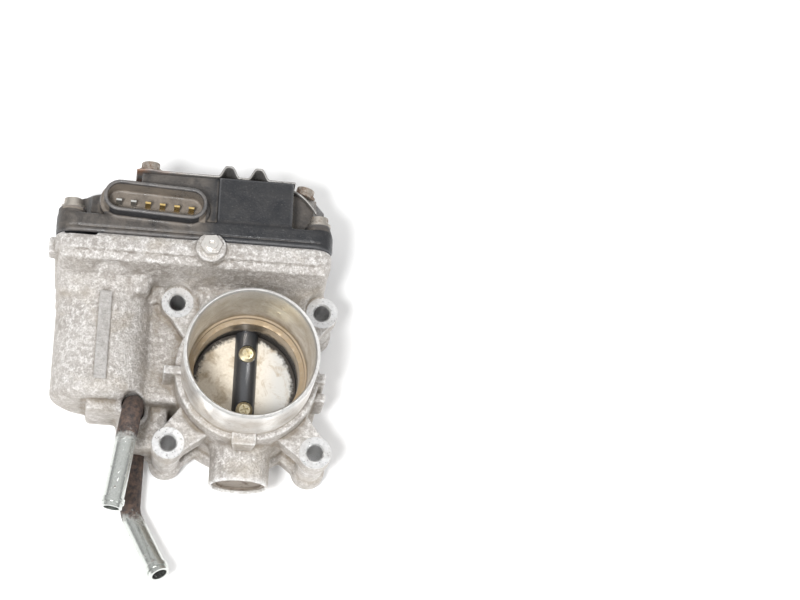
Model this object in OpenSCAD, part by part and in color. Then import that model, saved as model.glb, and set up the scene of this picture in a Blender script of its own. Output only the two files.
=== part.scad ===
/* [Air path] */
// Diameter of the bore that the throttle plate closes
bore_d = 45; // [44:0.5:46]
// Diameter of the bore at the engine side of the plate
engine_bore_d = 48; // [46:0.5:50]
// Inside diameter of the inlet neck at its mouth
neck_id = 53.2; // [52:0.1:53.6]
// Outside diameter of the inlet neck, where the hose is clamped
neck_od = 56.4; // [56:0.1:58]
// Height of the neck's mouth above the engine flange
neck_top = 75.3; // [72:0.1:78]
// Height at which the machined neck starts
neck_base = 48.2; // [47:0.1:50]
/* [Engine flange] */
// Distance between neighbouring bolt holes, both ways
bolt_pitch = 62; // [62:0.1:63]
// Diameter of the bolt holes
bolt_hole_d = 6.8; // [6.4:0.1:7]
// Radius of the round flange
flange_r = 33.1; // [32:0.1:34]
// Height of the faces that the bolt heads press on
ear_top = 38.8; // [37:0.1:40]
/* [Throttle shaft] */
// Height of the shaft's axis above the engine flange
shaft_z = 26.6; // [26:0.1:27]
// Diameter of the shaft
shaft_d = 10; // [9.6:0.1:10]
// Angle of the plate at rest, held a little open by the springs
rest_angle = 6; // [4:0.5:8]
// Thickness of the throttle plate
plate_t = 1.5; // [1.2:0.1:1.6]
/* [Gear case] */
// Place of the joint between casting and cover along the shaft
split_y = 51.5; // [51:0.1:52]
// Left end of the gear case
case_left = -84.3; // [-85:0.1:-84]
// Right end of the gear case
case_right = 32.5; // [32:0.1:33]
// Lowest side of the gear case, towards the engine
case_low = -5; // [-6:0.1:-5]
// Highest side of the gear case, towards the air inlet
case_high = 63; // [62.5:0.1:64]
/* [Motor] */
// Place of the motor's axis to the left of the bore
motor_x = -61.5; // [-61.6:0.1:-61.4]
// Outside diameter of the motor's can
motor_d = 36.4; // [35:0.1:37]
// Outside radius of the cast motor housing
motor_house_r = 20.8; // [20.5:0.1:21.5]
/* [Gears] */
// Module of every gear
gear_m = 1; // [1:1:1]
// Number of teeth of the full circle of the sector gear
sector_n = 54; // [54:1:54]
// Number of teeth of the small intermediate gear
small_n = 13; // [13:1:13]
// Number of teeth of the large intermediate gear
large_n = 44; // [44:1:44]
// Number of teeth of the motor's pinion
pinion_n = 12; // [12:1:12]
/* [Coolant pipes] */
// Outside diameter of the coolant pipes
pipe_d = 8.8; // [8:0.1:9]
// Outside diameter of the bead at a pipe's end
bead_d = 9.9; // [9.4:0.1:10.4]
/* [Hidden] */
$fn = 96;
gap = 0.3;
run_gap = 0.04;
bore_r = bore_d / 2;
shaft_r = shaft_d / 2;
small_r = small_n * gear_m / 2;
sector_r = sector_n * gear_m / 2;
large_r = large_n * gear_m / 2;
pinion_r = pinion_n * gear_m / 2;
inter_x = -(sector_r + small_r);
// gear levels along the shaft direction
sector_y0 = 43.5;
sector_y1 = 49.5;
large_y0 = 51.5;
large_y1 = 56.5;
floor_y = 40;
lip_y = 44;
rim_top = 60;
plateau_top = 71;
block_top = 80.8;
cover_wall = 2.2;
rim_corner = 8;
plug_r = 11.2;
inner_inset = 3.2;
boss_top = 63.2;
// slope of the right end of the block and of the shield over it
slope_a = 14;
// places of the cover screws, [x, z]
cover_screw_xz = [[-78, 56], [-78, 4], [26.5, 56], [26.5, 4]];
shield_screw_xz = [[-46.7, 56.5], [20, 44]];
aluminium = [0.72, 0.70, 0.66];
plastic = [0.09, 0.10, 0.12];
steel = [0.66, 0.65, 0.62];
brass = [0.80, 0.66, 0.35];
zinc = [0.70, 0.70, 0.68];

// a solid whose outline is drawn in X and Z and which runs from y0 to y1
module along_y(y0, y1) {
    translate([0, y1, 0]) rotate([90, 0, 0]) linear_extrude(y1 - y0) children();
}

// a round bar along Y
module y_cyl(x, z, r, y0, y1) {
    translate([x, y1, z]) rotate([90, 0, 0]) cylinder(h = y1 - y0, r = r);
}

// a round bar along Z
module z_cyl(x, y, r, z0, z1) {
    translate([x, y, z0]) cylinder(h = z1 - z0, r = r);
}

// a rectangle with round corners, true arcs
module round_rect(x0, z0, x1, z1, r) {
    translate([x0 + r, z0]) square([x1 - x0 - 2 * r, z1 - z0]);
    translate([x0, z0 + r]) square([x1 - x0, z1 - z0 - 2 * r]);
    for (x = [x0 + r, x1 - r], z = [z0 + r, z1 - r]) translate([x, z]) circle(r);
}

// the outline of the gear case, pulled in by inset
module case_outline(inset = 0) {
    round_rect(case_left + inset, case_low + inset, case_right - inset, case_high - inset,
        rim_corner - inset);
}

// ---- the casting ----
// the four bolt bosses with the arms that join them to the bore
module ears() {
    half = bolt_pitch / 2;
    boss_r = 7;
    waist_r = 5.8;
    arm_w = 11;
    for (sx = [-1, 1], sy = [-1, 1]) {
        z_cyl(sx * half, sy * half, waist_r, 1, ear_top - 1);
        z_cyl(sx * half, sy * half, boss_r, 0, 9);
        z_cyl(sx * half, sy * half, boss_r, ear_top - 10, ear_top + 0.4);
        rotate([0, 0, atan2(sy, sx)]) {
            translate([20, -arm_w / 2, 0.6]) cube([half * sqrt(2) - 20, arm_w, 8]);
            translate([20, -arm_w / 2, ear_top - 9.3]) cube([half * sqrt(2) - 20, arm_w, 8.8]);
            translate([20, -2, 1]) cube([half * sqrt(2) - 22, 4, ear_top - 3]);
        }
    }
}

module casting_solid() {
    half = bolt_pitch / 2;
    // bore tube, flange and neck
    z_cyl(0, 0, flange_r, 0, 9);
    z_cyl(0, 0, 30.5, 8, neck_base);
    z_cyl(0, 0, neck_od / 2, neck_base - 2, neck_top);
    ears();
    // shaft boss at the closed end
    y_cyl(0, shaft_z, 12.7, -45.3, -20);
    // block that carries the bearing on the gear side
    translate([-30, 20, 3]) cube([61, 22, 42]);
    // web between bore and motor
    translate([-50, -22, 4]) cube([30, 60, 32]);
    // motor housing
    y_cyl(motor_x, shaft_z, motor_house_r, -10, lip_y);
    y_cyl(motor_x, shaft_z, motor_house_r - 3, -13.2, -9.9);
    translate([motor_x - 5, -18.5, 12]) cube([19, 6, 26]);
    // raised bar along the motor housing
    translate([motor_x - 2.8, -8, shaft_z + motor_house_r - 2]) cube([5.6, 38, 3]);
    // coolant chamber and the pad above it
    translate([-53, -30.5, 1]) cube([21.5, 36, 23]);
    translate([-54, -6, 1]) cube([24, 38, 10]);
    // gear case: pan and lip
    along_y(36.5, lip_y + 0.1) case_outline(1);
    // slope from the gear case down to the bore and the motor housing
    translate([-80, 0, 0]) rotate([90, 0, 90]) linear_extrude(110)
        polygon([[29, 8], [36.6, 0], [36.6, 56], [29, 43]]);
    along_y(lip_y, split_y) case_outline();
    // posts under the motor plate's screws
    for (p = motor_plate_holes) y_cyl(motor_x + p[0], shaft_z + p[1], 4.4, 28, floor_y);
    // side lug for the wiring clip
    translate([case_left - 2.6, 44.5, 44]) cube([6, 7, 9]);
    // stop screw boss
    z_cyl(-19.2, 47.5, 6.4, 50, 66.5);
    // hose clamp stops round the neck
    for (a = [-90, 10, 178]) rotate([0, 0, a]) translate([26, -5, neck_base - 3.6])
        cube([a == -90 ? 6.6 : 5.4, 10, 3.5]);
}

module casting_hollow() {
    half = bolt_pitch / 2;
    spot_face_r = 7.2;
    seat_r = 9.5;
    // air path: engine bore, throttle bore, tapered inlet with its ledge
    z_cyl(0, 0, engine_bore_d / 2, -1, 14);
    z_cyl(0, 0, bore_r, -1, neck_top + 1);
    z_cyl(0, 0, 24.4, 43.5, neck_top);
    translate([0, 0, 45.5]) cylinder(h = neck_top - 45.5 + 0.01, r1 = 25.2, r2 = neck_id / 2);
    // bolt holes and the faces milled round them
    for (x = [-half, half], y = [-half, half]) {
        z_cyl(x, y, bolt_hole_d / 2, -1, ear_top + 1);
        z_cyl(x, y, spot_face_r, ear_top, ear_top + 8);
    }
    // shaft passage, bearing seats, recess of the end plug
    y_cyl(0, shaft_z, shaft_r + 0.5, -30, 36);
    y_cyl(0, shaft_z, seat_r, -42.5, -26);
    y_cyl(0, shaft_z, plug_r, -46, -42);
    y_cyl(0, shaft_z, seat_r, 26, 34);
    // well of the return spring and room for the gears
    y_cyl(0, shaft_z, 17.5, 33.9, split_y + 1);
    along_y(floor_y, split_y + 1) case_outline(inner_inset);
    // motor bore
    y_cyl(motor_x, shaft_z, motor_d / 2 + gap, -9.5, split_y + 1);
    // seat of the intermediate pin
    y_cyl(inter_x, shaft_z, 2.5, 37.5, floor_y + 1);
    // hole of the stop screw
    z_cyl(-19.2, 47.5, 2.5, 45, 67);
    // the boss stands proud only in front of the cover
    translate([-30, split_y, 40]) cube([22, 5, case_high + 0.3 - 40]);
    // cover screw holes
    for (p = cover_screw_xz) y_cyl(p[0], p[1], 2.1, 38.5, split_y + 1);
    // coolant channel and the seats of the two pipes
    z_cyl(upper_pipe_at[0], upper_pipe_at[1], pipe_d / 2, 8, 26);
    z_cyl(upper_pipe_at[0], upper_pipe_at[1], pipe_d / 2 + gap, 24, 60);
    y_cyl(-44.5, 8, pipe_d / 2, -31.5, -8);
}

module housing() {
    color(aluminium) difference() {
        union() {
            difference() {
                casting_solid();
                casting_hollow();
            }
            // posts that carry the motor plate
            for (p = motor_plate_holes) difference() {
                y_cyl(motor_x + p[0], shaft_z + p[1], 4.2, floor_y - 0.1, 43);
                y_cyl(motor_x, shaft_z, motor_d / 2 + gap, 30, 50);
            }
            // bosses of the cover screws inside the case
            for (p = cover_screw_xz) difference() {
                intersection() {
                    y_cyl(p[0], p[1], 4.6, floor_y - 1, split_y);
                    along_y(floor_y - 2, split_y) case_outline(1);
                }
                y_cyl(p[0], p[1], 2.1, 38.5, split_y + 1);
            }
        }
        for (p = motor_plate_holes) y_cyl(motor_x + p[0], shaft_z + p[1], 2, 33, 44);
        // drain notch in the ear next to the motor
        translate([-37.5, 34, -1]) cube([3, 3.4, 7]);
    }
}

// pressed plug that closes the shaft boss
module end_plug() {
    color(aluminium) difference() {
        y_cyl(0, shaft_z, plug_r, -44, -42);
        y_cyl(0, shaft_z, plug_r - 1.6, -45, -43.1);
    }
}

// ---- throttle ----
// turns its children about the shaft's axis to the rest angle
module at_rest() {
    translate([0, 0, shaft_z]) rotate([0, rest_angle, 0]) children();
}

module throttle_shaft() {
    color([0.12, 0.12, 0.13]) difference() {
        union() {
            y_cyl(0, shaft_z, shaft_r, -35, 46);
            y_cyl(0, shaft_z, shaft_r - 1.2, 45.9, 51);
        }
        // slot of the plate, flats under the screw heads, screw holes
        at_rest() {
            translate([-8, -bore_r - 0.5, -plate_t / 2]) cube([16, bore_d + 1, plate_t]);
            for (y = [-12.5, 12.5]) {
                translate([0, y, shaft_r - 1.6]) cylinder(h = 4, r = 3.9);
                translate([0, y, -8]) cylinder(h = 16, r = 1.9);
            }
        }
    }
}

module throttle_plate() {
    color([0.80, 0.74, 0.62]) difference() {
        at_rest() translate([0, 0, -plate_t / 2]) cylinder(h = plate_t, r = bore_r - 0.14);
        at_rest() for (y = [-12.5, 12.5]) translate([0, y, -3]) cylinder(h = 6, r = 1.9);
    }
}

module plate_screw() {
    head_z = shaft_r - 1.6;
    difference() {
        union() {
            translate([0, 0, -shaft_r - 0.4]) cylinder(h = head_z + shaft_r + 0.5, r = 1.9);
            translate([0, 0, head_z]) cylinder(h = 1.4, r = 3.6);
            translate([0, 0, head_z + 1.4]) cylinder(h = 0.8, r1 = 3.6, r2 = 2.4);
        }
        for (a = [20, 110]) rotate([0, 0, a]) translate([-1.9, -0.4, head_z + 0.9]) cube([3.8, 0.8, 3]);
    }
}

module plate_screws() {
    color(brass) at_rest() for (y = [-12.5, 12.5]) translate([0, y, 0]) plate_screw();
}

module ring_y(r_in, r_out, y0, y1) {
    difference() {
        y_cyl(0, shaft_z, r_out, y0, y1);
        y_cyl(0, shaft_z, r_in, y0 - 1, y1 + 1);
    }
}

module bearing(y0, y1) {
    groove = 0.6;
    color(steel) difference() {
        ring_y(shaft_r + run_gap, 9.5, y0, y1);
        ring_y(6.6, 7.9, y0 - 1, y0 + groove);
        ring_y(6.6, 7.9, y1 - groove, y1 + 1);
    }
}

module cover_side_bearing() {
    bearing(26, 32);
}

module end_side_bearing() {
    bearing(-32, -26);
}

module cover_side_seal() {
    color([0.15, 0.13, 0.12]) ring_y(shaft_r + run_gap, 9.5, 32, 33.8);
}

module end_side_seal() {
    color([0.15, 0.13, 0.12]) ring_y(shaft_r + run_gap, 9.5, -34, -32);
}

// ---- return spring: one wire wound round the hub ----
function coil_point(t, turns, r, y0, pitch) =
    [r * cos(360 * turns * t), y0 + pitch * turns * t, shaft_z + r * sin(360 * turns * t)];

function tube_ring(c, d, up, r, sides) =
    let (u = cross(d, up), ul = norm(u), ux = u / ul, vx = cross(ux, d / norm(d)))
    [for (i = [0 : sides - 1]) c + r * (cos(360 * i / sides) * ux + sin(360 * i / sides) * vx)];

module swept_tube(points, up, r, sides = 8) {
    n = len(points);
    dirs = [for (i = [0 : n - 1]) points[min(i + 1, n - 1)] - points[max(i - 1, 0)]];
    rings = [for (i = [0 : n - 1]) each tube_ring(points[i], dirs[i], up, r, sides)];
    sides_f = [for (i = [0 : n - 2], j = [0 : sides - 1])
        [i * sides + j, i * sides + (j + 1) % sides, (i + 1) * sides + (j + 1) % sides, (i + 1) * sides + j]];
    start_f = [[for (j = [sides - 1 : -1 : 0]) j]];
    end_f = [[for (j = [0 : sides - 1]) (n - 1) * sides + j]];
    polyhedron(rings, concat(sides_f, start_f, end_f), convexity = 6);
}

module return_spring() {
    turns = 4;
    steps = 24 * turns;
    coil_r = 12.6;
    wire_r = 0.8;
    coil_pitch = 1.85;
    points = [for (i = [0 : steps]) coil_point(i / steps, turns, coil_r, 35, coil_pitch)];
    tail = [for (l = [1 : 3]) [coil_r, 35 + coil_pitch * turns, shaft_z + l]];
    color([0.35, 0.36, 0.38]) swept_tube(concat(points, tail), [0, 1, 0], wire_r);
}

// ---- gears: involute flanks worked out from the tooth count ----
pressure = 20;
flank_steps = 4;
function involute(base_r, r) = let (a = acos(min(1, base_r / r))) tan(a) * 180 / PI - a;
function tooth_half(n, r, slack) =
    let (pr = n * gear_m / 2, br = pr * cos(pressure))
    90 / n - slack + involute(br, pr) - involute(br, max(r, br));
function gear_points(n, slack, add, ded, first, last) =
    let (pr = n * gear_m / 2, br = pr * cos(pressure), top = pr + add, root = pr - ded, lo = max(br, root))
    [for (k = [first : last]) each concat(
        [polar(root, k * 360 / n - tooth_half(n, lo, slack))],
        [for (i = [0 : flank_steps]) let (r = lo + (top - lo) * i / flank_steps)
            polar(r, k * 360 / n - tooth_half(n, r, slack))],
        [for (i = [flank_steps : -1 : 0]) let (r = lo + (top - lo) * i / flank_steps)
            polar(r, k * 360 / n + tooth_half(n, r, slack))],
        [polar(root, k * 360 / n + tooth_half(n, lo, slack))])];
function polar(r, a) = [r * cos(a), r * sin(a)];

tooth_slack_mm = 0.12;
function slack_of(n) = tooth_slack_mm / (n * gear_m / 2) * 180 / PI;
tooth_add = 0.85;
tooth_ded = 1.2;

// a whole gear about the Y axis at x, turned by phase
module spur(n, x, phase, y0, y1) {
    translate([x, 0, shaft_z]) along_y(y0, y1) rotate(phase)
        polygon(gear_points(n, slack_of(n), tooth_add, tooth_ded, 0, n - 1));
}

// the sector's teeth lie from just above the mesh point round towards the engine side
sector_first = 24;
sector_last = 40;
sector_hub_r = 9.4;

module sector_gear() {
    lug_a = 117;
    color([0.16, 0.15, 0.14]) difference() {
        translate([0, 0, shaft_z]) union() {
            along_y(sector_y0, sector_y1) {
                polygon(concat(gear_points(sector_n, slack_of(sector_n), tooth_add, tooth_ded,
                    sector_first, sector_last), [[0, 0]]));
                polygon(concat([[0, 0]], [for (a = [lug_a - 16 : 4 : lug_a]) polar(30.8, a)]));
                circle(sector_hub_r);
            }
            along_y(36.2, 56.4) circle(sector_hub_r);
        }
        y_cyl(0, shaft_z, shaft_r - 1.2, 30, 51);
        y_cyl(0, shaft_z, shaft_r, 30, 46);
        // pocket of the sensor magnets
        y_cyl(0, shaft_z, 7.6, 51.4, 60);
        // lightening windows through the web
        for (a = [170, 205, 240]) translate([polar(17, a)[0], 60, shaft_z + polar(17, a)[1]])
            rotate([90, 0, 0]) cylinder(h = 30, r = 4);
    }
}

module sector_magnets() {
    color([0.30, 0.30, 0.32]) for (s = [-1, 1]) intersection() {
        ring_y(5.2, 7.6, 51.4, 56);
        translate([s > 0 ? 1.2 : -11.2, 50, shaft_z - 10]) cube([10, 10, 20]);
    }
}

module intermediate_gear() {
    hub_r = 4.6;
    color([0.80, 0.76, 0.66]) difference() {
        union() {
            spur(small_n, inter_x, small_phase, 41, large_y0 + 0.1);
            spur(large_n, inter_x, large_phase, large_y0, large_y1);
            y_cyl(inter_x, shaft_z, hub_r, large_y1 - 0.1, large_y1 + 1.4);
        }
        y_cyl(inter_x, shaft_z, 2.5 + run_gap, 40, 60);
        // recessed ring in the web
        difference() {
            y_cyl(inter_x, shaft_z, large_r - 3.5, large_y1 - 1.6, large_y1 + 0.1);
            y_cyl(inter_x, shaft_z, hub_r + 2, large_y1 - 2, large_y1 + 1);
        }
    }
}

// tooth phases that put teeth of one gear into gaps of the next
small_phase = 180 / small_n;
large_phase = 0;
pinion_phase = 180 / pinion_n;

module intermediate_pin() {
    color(steel) y_cyl(inter_x, shaft_z, 2.5, 37.5, 65.5);
}

// ---- motor ----
module motor_can() {
    color([0.62, 0.62, 0.63]) difference() {
        union() {
            y_cyl(motor_x, shaft_z, motor_d / 2, -4, 41);
            y_cyl(motor_x, shaft_z, 6, -6.4, -3.9);
        }
        y_cyl(motor_x, shaft_z, motor_d / 2 - 1.6, -2.4, 42);
        y_cyl(motor_x, shaft_z, 3, -5.2, 0);
    }
}

module motor_end_cap() {
    color([0.20, 0.19, 0.18]) difference() {
        union() {
            y_cyl(motor_x, shaft_z, motor_d / 2 - 1.6, 37, 41);
            y_cyl(motor_x, shaft_z, motor_d / 2, 41, 43);
            y_cyl(motor_x, shaft_z, 6, 42.9, 45.8);
        }
        y_cyl(motor_x, shaft_z, 1.5 + run_gap, 30, 60);
        for (s = [-1, 1]) translate([motor_x - 3, 30, shaft_z + s * 13 - 0.4]) cube([6, 20, 0.8]);
    }
}

module motor_shaft() {
    color(steel) union() {
        y_cyl(motor_x, shaft_z, 1.5, -5, 57.6);
        // rotor stack
        y_cyl(motor_x, shaft_z, 11.5, 4, 30);
        y_cyl(motor_x, shaft_z, 5, 30, 35);
    }
}

module motor_pinion() {
    color(brass) difference() {
        spur(pinion_n, motor_x, pinion_phase, 48.4, 57);
        y_cyl(motor_x, shaft_z, 1.5, 48, 58);
    }
}

module motor_terminals() {
    color([0.78, 0.62, 0.38]) for (s = [-1, 1])
        translate([motor_x - 3, 36, shaft_z + s * 13 - 0.4]) cube([6, 30, 0.8]);
}

motor_plate_holes = [[-16, -14], [-16, 14], [14, 17.5]];

module motor_plate() {
    color(steel) difference() {
        along_y(43, 45) {
            translate([motor_x, shaft_z]) circle(motor_d / 2 + 0.1);
            for (p = motor_plate_holes) translate([motor_x + p[0], shaft_z + p[1]]) circle(3.4);
        }
        y_cyl(motor_x, shaft_z, 6 + gap, 40, 50);
        for (p = motor_plate_holes) y_cyl(motor_x + p[0], shaft_z + p[1], 2, 40, 50);
        for (s = [-1, 1]) translate([motor_x - 4, 40, shaft_z + s * 13 - 1.4]) cube([8, 10, 2.8]);
    }
}

module motor_plate_screws() {
    color(steel) for (p = motor_plate_holes) difference() {
        union() {
            y_cyl(motor_x + p[0], shaft_z + p[1], 2, 34, 45.1);
            y_cyl(motor_x + p[0], shaft_z + p[1], 3.3, 45, 47.2);
        }
        for (a = [0, 90]) translate([motor_x + p[0], 0, shaft_z + p[1]]) rotate([0, a, 0])
            translate([-1.8, 46.2, -0.4]) cube([3.6, 2, 0.8]);
    }
}

module motor_wave_spring() {
    color([0.5, 0.5, 0.5]) difference() {
        y_cyl(motor_x, shaft_z, 14, -9.5, -4);
        y_cyl(motor_x, shaft_z, 11.6, -10, -3);
    }
}

// ---- cover ----
// outline of the raised block under the heat shield
module block_outline(inset = 0) {
    difference() {
        block_polygon(inset);
        screw_clearance(inset);
    }
}

// room round the heads of the cover screws
module screw_clearance(inset) {
    for (p = cover_screw_xz) translate(p) circle(7.4 + inset);
}

module block_polygon(inset) {
    polygon([[-50 + inset, case_high - 1 - inset], [14.5 - inset, case_high - 1 - inset],
        [14.5 - inset, 49 - inset], [24 - inset, 49 - inset], [30 - inset, 38],
        [30.5 - inset, -1 + inset], [-4 + inset, -1 + inset], [-16, 2 + inset],
        [-50 + inset, 44 + inset * 0.5]]);
}

// outline of the whole raised body
module plateau_outline(inset = 0) {
    difference() {
        union() {
            round_rect(-79.5 + inset, -1.5 + inset, -20, case_high - 2.5 - inset, 26 - inset);
            translate([-40, -1.5 + inset]) square([54.5 - inset, case_high - 1 - 2 * inset]);
            translate([0, -1.5 + inset]) square([30.5 - inset, 50 - 2 * inset]);
        }
        screw_clearance(inset);
    }
}

module connector_outline(inset = 0) {
    hw = 21.7 - inset;
    hh = 6.9 - inset;
    translate([-43.7, 65.7]) rotate(-2.5) {
        translate([-hw + hh, -hh]) square([2 * (hw - hh), 2 * hh]);
        for (s = [-1, 1]) translate([s * (hw - hh), 0]) circle(hh);
    }
}

module gear_cover() {
    color(plastic) difference() {
        union() {
            along_y(split_y, rim_top) case_outline();
            along_y(rim_top - 0.1, plateau_top) plateau_outline();
            // long ridge over the rear wall
            along_y(plateau_top - 0.1, 75) round_rect(-66, -1.5, 0, 7, 4);
            along_y(rim_top, block_top) block_outline();
            // screw bosses on the rim
            for (p = cover_screw_xz) y_cyl(p[0], p[1], 6, split_y, boss_top);
            // connector shell
            translate([0, 0, 50]) linear_extrude(20) connector_outline();
        }
        // right end of the block slopes down
        translate([15, block_top, -10]) rotate([0, 0, -slope_a]) cube([40, 20, 80]);
        // hollow inside
        along_y(split_y - 1, rim_top - cover_wall) case_outline(inner_inset);
        along_y(split_y - 1, plateau_top - cover_wall) plateau_outline(cover_wall + 1.6);
        difference() {
            along_y(split_y, block_top - cover_wall) block_outline(cover_wall + 1);
            translate([15, block_top - cover_wall - 0.6, -10]) rotate([0, 0, -slope_a])
                cube([40, 20, 80]);
        }
        // socket of the connector, slots of its pins, groove of the gasket
        translate([0, 0, 60.5]) linear_extrude(12) connector_outline(1.6);
        pin_bars();
        gasket_ring();
        // screw holes
        for (p = cover_screw_xz) y_cyl(p[0], p[1], 2.6, 50, boss_top + 1);
        for (i = [0, 1]) at_shield_screw(i) y_cyl(0, 0, 2.2, -9, 2);
        // funnel-shaped recess and round mark in the motor end
        translate([-60, plateau_top + 0.01, 38]) rotate([90, 0, 0]) cylinder(h = 1.6, r1 = 8, r2 = 4);
        y_cyl(-66, 17, 3, plateau_top - 0.5, plateau_top + 1);
    }
    // boss that holds the free end of the intermediate pin
    color(plastic) difference() {
        y_cyl(inter_x, shaft_z, 5, 58.4, plateau_top - 1);
        y_cyl(inter_x, shaft_z, 2.5, 58, 66);
    }
    color(plastic) for (p = cover_screw_xz) difference() {
        y_cyl(p[0], p[1], 5, split_y, boss_top - 0.1);
        y_cyl(p[0], p[1], 2.6, 50, boss_top + 1);
        gasket_ring();
    }
    color(plastic) for (i = [0, 1]) at_shield_screw(i) difference() {
        y_cyl(0, 0, 4.2, -7.5, -1.6);
        y_cyl(0, 0, 2.2, -9, 2);
    }
}

module cover_gasket() {
    color([0.20, 0.12, 0.10]) gasket_ring();
}

module gasket_ring() {
    difference() {
        along_y(split_y, split_y + 1.4) case_outline(0.9);
        along_y(split_y - 2, split_y + 2) case_outline(2.3);
    }
}

pin_pitch = 6.1;

module connector_pins() {
    color(brass) pin_bars();
}

module pin_bars() {
    translate([-43.7, 65.7, 0]) rotate([0, 0, -2.5]) for (i = [0 : 5])
        translate([(i - 2.5) * pin_pitch - 1.15, -0.4 - 1, 50]) cube([2.3, 0.8, 16.5]);
}

module sensor_board() {
    color([0.12, 0.30, 0.18]) translate([-14, 60, 15]) cube([24, 1.4, 30]);
}

module sensor_chip() {
    color([0.08, 0.08, 0.08]) union() {
        translate([-3, 57.4, shaft_z - 2.5]) cube([6, 2.6, 5]);
    }
}

// ---- heat shield: one pressed sheet with two ribs, a sloped end and a rear apron ----
sheet_t = 1;
rib_h = 4.8;
rib_half = 4.2;
rib_xs = [-13.3, -0.6];

// place and tilt of each shield screw; y is 0 on the sheet's outer side
module at_shield_screw(i) {
    sheet_y = block_top + 0.1 + sheet_t - (i == 0 ? 0 : 5 * tan(slope_a));
    translate([shield_screw_xz[i][0], sheet_y, shield_screw_xz[i][1]])
        rotate([0, 0, i == 0 ? 0 : -slope_a]) children();
}

function shield_section(y) = concat(
    [[-53, y]],
    [for (x = rib_xs) each [[x - rib_half, y], [x - 1, y + rib_h], [x + 1, y + rib_h], [x + rib_half, y]]],
    [[15, y], [31, y - 16 * tan(slope_a)]]);
function reversed(list) = [for (i = [len(list) - 1 : -1 : 0]) list[i]];

module shield_outline() {
    polygon([[-52.5, 42.5], [-30.5, 15.5], [-17, -1.4], [-3.4, -1.4], [-3.4, -2.8], [31, -2.8], [30.2, 30],
        [25.5, 42], [23.5, 50.5], [16.5, 50.5], [15.3, case_high - 2.4], [-52.5, case_high - 1.4]]);
}

module heat_shield() {
    y = block_top + 0.05;
    color([0.50, 0.49, 0.47]) difference() {
        union() {
            intersection() {
                translate([0, 0, -4]) linear_extrude(80)
                    polygon(concat(shield_section(y), reversed(shield_section(y + sheet_t))));
                along_y(70, 90) shield_outline();
            }
            translate([-3.4, 61, -2.8]) cube([34.4, 16.5, sheet_t]);
            translate([-3.4, 77, -2.8]) cube([19, block_top - 76.5, sheet_t]);
            // ears over the two shield screws
            y_cyl(shield_screw_xz[0][0], shield_screw_xz[0][1] + 1, 5.6, y, y + sheet_t);
            // ear under the rear right cover screw
            y_cyl(cover_screw_xz[3][0], cover_screw_xz[3][1], 6.4, boss_top, boss_top + sheet_t);
        }
        for (i = [0, 1]) at_shield_screw(i) y_cyl(0, 0, 2.6, -3, 3);
        y_cyl(cover_screw_xz[3][0], cover_screw_xz[3][1], 6.6, boss_top + sheet_t, 90);
        y_cyl(cover_screw_xz[3][0], cover_screw_xz[3][1], 6.2, 55, boss_top);
        y_cyl(cover_screw_xz[3][0], cover_screw_xz[3][1], 2.6, 60, 90);
    }
}

// ---- fasteners ----
module flange_screw(head_y, shank, r) {
    rotate([90, 0, 0]) difference() {
        union() {
            translate([0, 0, -head_y - 1.2]) cylinder(h = 1.2, r = 5);
            translate([0, 0, -head_y - 4.2]) cylinder(h = 3.1, r = 3.9);
            translate([0, 0, -head_y - 0.1]) cylinder(h = shank, r = r);
        }
        translate([0, 0, -head_y - 5]) cylinder(h = 2.6, r = 2, $fn = 6);
    }
}

module cover_screws() {
    color(steel) for (i = [0 : 3]) translate([cover_screw_xz[i][0], 0, cover_screw_xz[i][1]])
        flange_screw(i == 3 ? boss_top + sheet_t : boss_top, 22, 2.1);
}

module shield_screws() {
    color(steel) for (i = [0, 1]) at_shield_screw(i) flange_screw(0, 8, 2.1);
}

module stop_screw() {
    color(steel) difference() {
        z_cyl(-19.2, 47.5, 2.5, 51, 71.5);
        translate([-19.2, 47.5, 70]) cylinder(h = 3, r = 1.3, $fn = 6);
    }
}

module stop_nut() {
    color(steel) difference() {
        translate([-19.2, 47.5, 66.5]) rotate([0, 0, 8]) cylinder(h = 3.2, r = 4.6, $fn = 6);
        z_cyl(-19.2, 47.5, 2.5, 60, 75);
    }
}

// ---- coolant pipes: bent tubes with a bead near the open end ----
// each step is [straight length, bend angle, bend radius, roll of the bend plane]
upper_pipe_at = [-46.5, -15.2, 15];
upper_steps = [[19.5, 90, 9, 82.5], [37.8, 0, 0, 0]];
lower_steps = [[29.5, 32.3, 14, -144.7], [28.3, 0, 0, 0]];
pipe_wall = 1.1;

// the straights run a little way into the bends, whose radius is a hair smaller
pipe_lap = 0.5;
bend_slack = 0.04;

module pipe_run(steps, r, over = 0, i = 0) {
    length = steps[i][0];
    bend = steps[i][1];
    bend_r = steps[i][2];
    before = i == 0 ? over : pipe_lap;
    after = bend > 0 ? pipe_lap : over;
    translate([0, 0, -before]) cylinder(h = before + length + after, r = r);
    if (bend > 0) translate([0, 0, length]) rotate([0, 0, steps[i][3]]) {
        translate([-bend_r, 0, 0]) rotate([90, 0, 0]) rotate_extrude(angle = bend)
            translate([bend_r, 0]) circle(r - bend_slack);
        translate([-bend_r, 0, 0]) rotate([0, -bend, 0]) translate([bend_r, 0, 0])
            pipe_run(steps, r, over, i + 1);
    }
}

// the bead lies near the end of the last straight
module pipe_bead(steps, r, i = 0) {
    length = steps[i][0];
    bend = steps[i][1];
    bend_r = steps[i][2];
    if (bend > 0) translate([0, 0, length]) rotate([0, 0, steps[i][3]])
        translate([-bend_r, 0, 0]) rotate([0, -bend, 0]) translate([bend_r, 0, 0]) pipe_bead(steps, r, i + 1);
    else translate([0, 0, length - 4]) cylinder(h = 2, r = r);
}

module coolant_pipe(steps) {
    difference() {
        union() {
            pipe_run(steps, pipe_d / 2);
            pipe_bead(steps, bead_d / 2);
        }
        pipe_run(steps, pipe_d / 2 - pipe_wall, 1);
    }
}

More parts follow.
